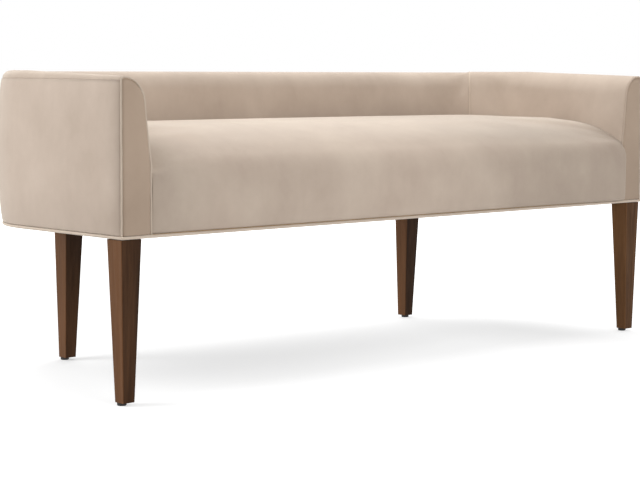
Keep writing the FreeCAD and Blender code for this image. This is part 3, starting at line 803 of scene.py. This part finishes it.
def add_noise(tree, scale, detail, roughness):
    """Noise on the piece's own coordinates, stretched by a scale for each axis."""
    coordinates = tree.nodes.new("ShaderNodeTexCoord")
    mapping = tree.nodes.new("ShaderNodeMapping")
    mapping.inputs["Scale"].default_value = scale
    noise = tree.nodes.new("ShaderNodeTexNoise")
    noise.inputs["Scale"].default_value = 1
    noise.inputs["Detail"].default_value = detail
    noise.inputs["Roughness"].default_value = roughness
    tree.links.new(coordinates.outputs["Object"], mapping.inputs["Vector"])
    tree.links.new(mapping.outputs["Vector"], noise.inputs["Vector"])
    return noise.outputs["Fac"]


def map_range(tree, source, first, last, low, high):
    node = tree.nodes.new("ShaderNodeMapRange")
    for label, value in (("From Min", first), ("From Max", last), ("To Min", low), ("To Max", high)):
        node.inputs[label].default_value = value
    tree.links.new(source, node.inputs["Value"])
    return node.outputs["Result"]


def spread(tree, source, low, high):
    """Maps a noise value to a range, from its usual 0.3 to 0.7."""
    return map_range(tree, source, 0.3, 0.7, low, high)


def combine(tree, operation, first, second=0):
    node = tree.nodes.new("ShaderNodeMath")
    node.operation = operation
    for socket, value in zip(node.inputs, (first, second)):
        if isinstance(value, (int, float)):
            socket.default_value = value
        else:
            tree.links.new(value, socket)
    return node.outputs["Value"]


def mix_colours(tree, share, one, other):
    node = tree.nodes.new("ShaderNodeMix")
    node.data_type = "RGBA"
    for socket, value in ((node.inputs[0], share), (node.inputs[6], one), (node.inputs[7], other)):
        if isinstance(value, (int, float, tuple)):
            socket.default_value = value
        else:
            tree.links.new(value, socket)
    return node.outputs[2]


def weighted_sum(tree, *parts):
    """Adds up values, each with its weight."""
    total = None
    for source, weight in parts:
        part = combine(tree, "MULTIPLY", source, weight)
        total = part if total is None else combine(tree, "ADD", total, part)
    return total


def put_out(tree, leave, colour, roughness, height):
    for label, source in (("Colour", colour), ("Roughness", roughness), ("Height", height)):
        tree.links.new(source, leave.inputs[label])
    return tree


def pile_group():
    """Short pile: cloudy brushing of the nap, long faint strokes, and the fine height of the pile. It
    is darker where a piece carries painted shade."""
    tree, entry, leave = shade_group("short_pile", ("Brushed", "NodeSocketColor", WHITE),
                                     ("Raised", "NodeSocketColor", WHITE))
    clouds = spread(tree, add_noise(tree, (7, 7, 6), 5, 0.6), 0, 1)
    strokes = spread(tree, add_noise(tree, (38, 38, 3), 3, 0.5), 0, 1)
    fine = add_noise(tree, (900, 900, 700), 2, 0.6)
    nap = weighted_sum(tree, (clouds, 0.75), (strokes, 0.1), (fine, 0.15))
    colour = mix_colours(tree, nap, entry.outputs["Brushed"], entry.outputs["Raised"])
    painted_shade = tree.nodes.new("ShaderNodeAttribute")
    painted_shade.attribute_name = "painted_shade"
    shaded = mix_colours(tree, painted_shade.outputs["Fac"], colour, PAINTED_SHADE_TINT)
    shaded.node.blend_type = "MULTIPLY"
    return put_out(tree, leave, shaded, spread(tree, clouds, 0.78, 0.92),
                   weighted_sum(tree, (fine, 1), (strokes, 0.4)))


def grain_group():
    """Timber grain along Z, with darker streaks and short pores. A share of painted light makes the
    faces that point along X lighter.
    """
    tree, entry, leave = shade_group("timber_grain", ("Dark", "NodeSocketColor", BLACK),
                                     ("Light", "NodeSocketColor", WHITE),
                                     ("Face", "NodeSocketFloat", 0.0))
    figure = spread(tree, add_noise(tree, (26, 26, 1.6), 5, 0.6), 0, 1)
    streaks = spread(tree, add_noise(tree, (150, 150, 4), 3, 0.6), 0, 1)
    pores = spread(tree, add_noise(tree, (700, 700, 40), 2, 0.5), 0, 1)
    tone = weighted_sum(tree, (figure, 0.6), (streaks, 0.3), (pores, 0.1))
    coordinates = tree.nodes.new("ShaderNodeTexCoord")
    facing = tree.nodes.new("ShaderNodeSeparateXYZ")
    tree.links.new(coordinates.outputs["Normal"], facing.inputs["Vector"])
    # Painted light on the faces that point along X, weighted by Face.
    painted_light_on_x_faces = combine(tree, "ABSOLUTE", facing.outputs["X"])
    share = entry.outputs["Face"]
    tone = weighted_sum(tree, (tone, combine(tree, "SUBTRACT", 1, share)), (painted_light_on_x_faces, share))
    colour = mix_colours(tree, tone, entry.outputs["Dark"], entry.outputs["Light"])
    return put_out(tree, leave, colour, spread(tree, streaks, 0.5, 0.36),
                   combine(tree, "ADD", streaks, pores))


def weave_group():
    """Plain weave: two crossed sets of threads with uneven tone."""
    tree, entry, leave = shade_group("plain_weave", ("Thread", "NodeSocketColor", WHITE),
                                     ("Hollow", "NodeSocketColor", BLACK),
                                     ("Count", "NodeSocketFloat", 900.0))
    coordinates = tree.nodes.new("ShaderNodeTexCoord")
    parts = tree.nodes.new("ShaderNodeSeparateXYZ")
    tree.links.new(coordinates.outputs["Object"], parts.inputs["Vector"])
    count = entry.outputs["Count"]
    warp = combine(tree, "SINE", combine(tree, "MULTIPLY", parts.outputs["X"], count))
    weft = combine(tree, "SINE", combine(tree, "MULTIPLY", parts.outputs["Y"], count))
    crossing = combine(tree, "MULTIPLY", warp, weft)
    height = combine(tree, "ADD", combine(tree, "MULTIPLY", crossing, 0.5), 0.5)
    uneven = spread(tree, add_noise(tree, (60, 60, 60), 3, 0.5), -0.15, 0.15)
    share = combine(tree, "ADD", height, uneven)
    colour = mix_colours(tree, share, entry.outputs["Hollow"], entry.outputs["Thread"])
    return put_out(tree, leave, colour, spread(tree, uneven, 0.85, 0.95), height)


def mottle_group():
    """Moulded stock or board made under a press: a faint mottle and a fine even relief."""
    tree, entry, leave = shade_group("fine_mottle", ("Dark", "NodeSocketColor", BLACK),
                                     ("Light", "NodeSocketColor", WHITE))
    mottle = spread(tree, add_noise(tree, (120, 120, 120), 4, 0.6), 0, 1)
    grit = spread(tree, add_noise(tree, (1600, 1600, 1600), 2, 0.5), 0, 1)
    colour = mix_colours(tree, mottle, entry.outputs["Dark"], entry.outputs["Light"])
    return put_out(tree, leave, colour, spread(tree, grit, 0.45, 0.65), grit)


def finish_from(name, tree, colours, relief_height, **settings):
    """A material whose colour, roughness and relief come from one of the groups."""
    material = bpy.data.materials.new(name)
    material.use_nodes = True
    network = material.node_tree
    shader = network.nodes["Principled BSDF"]
    surface = network.nodes.new("ShaderNodeGroup")
    surface.node_tree = tree
    for label, value in colours.items():
        surface.inputs[label].default_value = value
    relief = network.nodes.new("ShaderNodeBump")
    relief.inputs["Strength"].default_value = 1
    relief.inputs["Distance"].default_value = relief_height
    network.links.new(surface.outputs["Colour"], shader.inputs["Base Color"])
    network.links.new(surface.outputs["Roughness"], shader.inputs["Roughness"])
    network.links.new(surface.outputs["Height"], relief.inputs["Height"])
    network.links.new(relief.outputs["Normal"], shader.inputs["Normal"])
    for label, value in settings.items():
        shader.inputs[label.replace("_", " ")].default_value = value
    material.diffuse_color = next(iter(colours.values()))
    return material


pile = pile_group()
grain = grain_group()
weave = weave_group()
mottled = mottle_group()

# Screen colours of the nap, brushed flat and raised. The outside, seat, facing and front piping shades
# are lighter and darker copies of one velvet, set for how brightly each part looks with its nap's
# direction: painted light on the outer side and the seat, painted shade on the facings and the front
# pipings, more on the right piping.
VELVET_SHADES = {
    "beige_velvet": ((173, 156, 141), (195, 179, 164)),
    "outside_velvet": ((175, 158, 143), (197, 181, 167)),
    "seat_velvet": ((186, 168, 153), (208, 192, 176)),
    "facing_velvet": ((163, 143, 125), (178, 158, 140)),
    "piping_velvet": ((192, 176, 160), (206, 191, 175)),
    "left_piping_velvet": ((180, 164, 148), (196, 181, 165)),
    "right_piping_velvet": ((172, 154, 138), (187, 169, 153)),
}
velvets = {name: finish_from(name, pile, {"Brushed": linear(*brushed), "Raised": linear(*raised)},
                             relief_height=0.0003, Sheen_Weight=0.6, Sheen_Roughness=0.35,
                             Sheen_Tint=linear(240, 235, 225), Specular_IOR_Level=0.2)
           for name, (brushed, raised) in VELVET_SHADES.items()}
walnut = finish_from("walnut_stain", grain,
                     {"Dark": linear(17, 6, 2), "Light": linear(116, 79, 51), "Face": 0.5},
                     relief_height=0.00012, Specular_IOR_Level=0.08)
# A lighter copy of the walnut, for the front right leg.
light_walnut = finish_from("front_right_leg_walnut", grain,
                           {"Dark": linear(32, 15, 5), "Light": linear(138, 97, 62), "Face": 0.4},
                           relief_height=0.00012, Specular_IOR_Level=0.08)
timber = finish_from("frame_timber", grain,
                     {"Dark": linear(176, 138, 96), "Light": linear(212, 180, 138)},
                     relief_height=0.0002)
hardboard = finish_from("brown_hardboard", mottled,
                        {"Dark": linear(96, 66, 42), "Light": linear(122, 88, 58)},
                        relief_height=0.0001)
glide_plastic = finish_from("dark_glide", mottled,
                            {"Dark": linear(20, 19, 18), "Light": linear(32, 30, 28)},
                            relief_height=0.00005)
bright_steel = finish_from("zinc_steel", mottled,
                           {"Dark": linear(150, 152, 154), "Light": linear(188, 190, 192)},
                           relief_height=0.00003, Metallic=1.0)
dust_cloth = finish_from("black_dust_cloth", weave,
                         {"Thread": linear(40, 39, 38), "Hollow": linear(20, 20, 20),
                          "Count": 2600.0}, relief_height=0.0001)
hessian = finish_from("jute_hessian", weave,
                      {"Thread": linear(176, 146, 100), "Hollow": linear(96, 74, 46),
                       "Count": 1800.0}, relief_height=0.0003)
woven_strap = finish_from("jute_strap", weave,
                          {"Thread": linear(186, 160, 118), "Hollow": linear(120, 92, 58),
                           "Count": 1400.0}, relief_height=0.0003)

NODE_FINISHES = (
    (walnut, ("front_left_leg", "rear_left_leg", "rear_right_leg")),
    (light_walnut, ("front_right_leg",)),
    (glide_plastic, ("front_left_glide", "front_right_glide", "rear_left_glide", "rear_right_glide")),
    (timber, ("front_rail", "rear_rail", "left_side_rail", "right_side_rail", "left_corner_rail",
              "right_corner_rail", "seat_stretchers", "frame_dowels", "front_leg_blocks",
              "rear_leg_blocks", "left_arm_posts", "right_arm_posts", "back_posts",
              "left_arm_top_rail", "right_arm_top_rail", "left_corner_top_rail",
              "right_corner_top_rail", "back_top_rail", "left_front_board", "right_front_board")),
    (hardboard, ("left_side_board", "right_side_board", "left_corner_board", "right_corner_board",
                 "back_board")),
    (bright_steel, ("hanger_bolts", "insert_nuts")),
)
for material, names in NODE_FINISHES:
    for name in names:
        give(nodes[name], material)

inside_cover("left_inside_cloth", ARM_END, LEFT_SEAM - SEAM, (1, 0, 0),
             ["left_inside_cover", "left_arm_foam"])
inside_cover("back_inside_cloth", LEFT_SEAM + SEAM, RIGHT_SEAM - SEAM, (0, -1, 0),
             ["inside_back_cover", "back_foam", "left_corner_foam", "right_corner_foam"])
inside_cover("right_inside_cloth", RIGHT_SEAM + SEAM, WALL_RUN - ARM_END, (-1, 0, 0),
             ["right_inside_cover", "right_arm_foam"])
outside_cover()
front_cover("left", -1)
front_cover("right", 1)
seat_cushion()
pipings()
underside()


# Stage, light and camera

def seen_directly(network):
    """1 on rays from the camera and on those that are mirrored or let through."""
    path = network.nodes.new("ShaderNodeLightPath")
    seen = combine(network, "MAXIMUM", path.outputs["Is Camera Ray"], path.outputs["Is Glossy Ray"])
    return combine(network, "MAXIMUM", seen, path.outputs["Is Transmission Ray"])


def floor_lift(network):
    """How far the floor is lifted to white: less near the bench, so that its shadow shows. Under the
    bench it is lowered towards the rear and raised a little towards the front, which paints shade at
    the rear and paints light over the shadow at the front."""
    place = network.nodes.new("ShaderNodeNewGeometry")
    distance = network.nodes.new("ShaderNodeVectorMath")
    distance.operation = "LENGTH"
    network.links.new(place.outputs["Position"], distance.inputs[0])
    far = map_range(network, distance.outputs["Value"], 1.5, 3.5, 0.63, 1.15)
    forward = network.nodes.new("ShaderNodeVectorMath")
    forward.operation = "DOT_PRODUCT"
    forward.inputs[1].default_value = (0.325, -0.946, 0)
    network.links.new(place.outputs["Position"], forward.inputs[0])
    slope = map_range(network, forward.outputs["Value"], -0.4, 0.2, -0.15, 0.11)
    axes = network.nodes.new("ShaderNodeSeparateXYZ")
    network.links.new(place.outputs["Position"], axes.inputs["Vector"])
    aside = combine(network, "ABSOLUTE", combine(network, "ADD", axes.outputs["X"], 0.1))
    under_bench = map_range(network, aside, 0.42, 0.7, 1.0, 0.0)
    return combine(network, "ADD", far, combine(network, "MULTIPLY", slope, under_bench))


def white_floor():
    """A floor that the lamps light as usual, and that is seen as white with the bench's soft shadow."""
    floor = new_object("floor", [(-9, -7, 0), (9, -7, 0), (9, 9, 0), (-9, 9, 0)], [(0, 1, 2, 3)])
    material = bpy.data.materials.new("white_floor")
    material.use_nodes = True
    network = material.node_tree
    network.nodes.clear()
    output = network.nodes.new("ShaderNodeOutputMaterial")
    plain = network.nodes.new("ShaderNodeBsdfDiffuse")
    plain.inputs["Color"].default_value = (0.8, 0.8, 0.8, 1)
    shaded = network.nodes.new("ShaderNodeBsdfDiffuse")
    shaded.inputs["Color"].default_value = (0.5, 0.5, 0.5, 1)
    lift = network.nodes.new("ShaderNodeEmission")
    lift.inputs["Color"].default_value = WHITE
    both = network.nodes.new("ShaderNodeAddShader")
    chosen = network.nodes.new("ShaderNodeMixShader")
    network.links.new(floor_lift(network), lift.inputs["Strength"])
    network.links.new(shaded.outputs["BSDF"], both.inputs[0])
    network.links.new(lift.outputs["Emission"], both.inputs[1])
    network.links.new(seen_directly(network), chosen.inputs["Fac"])
    network.links.new(plain.outputs["BSDF"], chosen.inputs[1])
    network.links.new(both.outputs["Shader"], chosen.inputs[2])
    network.links.new(chosen.outputs["Shader"], output.inputs["Surface"])
    floor.data.materials.append(material)


def white_room():
    """A white background that lights the bench with less than its full strength."""
    unseen_strength = 0.44
    world = bpy.data.worlds.new("studio")
    bpy.context.scene.world = world
    world.use_nodes = True
    network = world.node_tree
    network.nodes.clear()
    output = network.nodes.new("ShaderNodeOutputWorld")
    light = network.nodes.new("ShaderNodeBackground")
    light.inputs["Color"].default_value = WHITE
    seen = combine(network, "MULTIPLY", seen_directly(network), 1 - unseen_strength)
    network.links.new(combine(network, "ADD", seen, unseen_strength), light.inputs["Strength"])
    network.links.new(light.outputs["Background"], output.inputs["Surface"])


def lamp(name, place, target, size, power):
    """A round lamp, with its width in metres and its power in watts."""
    light = bpy.data.lights.new(name, "AREA")
    light.shape = "DISK"
    light.size = size
    light.energy = power
    item = bpy.data.objects.new(name, light)
    item.location = place
    way = Vector(target) - Vector(place)
    item.rotation_euler = way.to_track_quat("-Z", "Y").to_euler()
    bpy.context.scene.collection.objects.link(item)


def camera():
    """A long lens a little above the seat. The shift saves most of the tilt, so that the legs stay
    upright."""
    tilt, heading = math.radians(2.147), math.radians(41.922)
    lens = bpy.data.cameras.new("camera")
    lens.sensor_width = 36
    lens.lens = 100.05
    lens.shift_x = 0.0015
    lens.shift_y = -0.1497
    item = bpy.data.objects.new("camera", lens)
    item.location = (-2.6628, -2.938, 0.6089)
    item.rotation_euler = (math.pi / 2 - tilt, 0, -heading)
    bpy.context.scene.collection.objects.link(item)
    bpy.context.scene.camera = item


bench_middle = (0, 0, 0.4)
white_floor()
white_room()
lamp("left_rear", (-2.6, 1.1, 2.3), (-0.3, 0, 0.4), size=1.9, power=63)
lamp("overhead", (1.4, 0.1, 3.4), bench_middle, size=2.6, power=67)
lamp("rear_overhead", (0.9, 1.8, 3.0), bench_middle, size=2.2, power=36)
lamp("front_fill", (-0.9, -4.5, 1.8), bench_middle, size=2.5, power=68)
camera()
bpy.context.scene.view_settings.view_transform = "Standard"
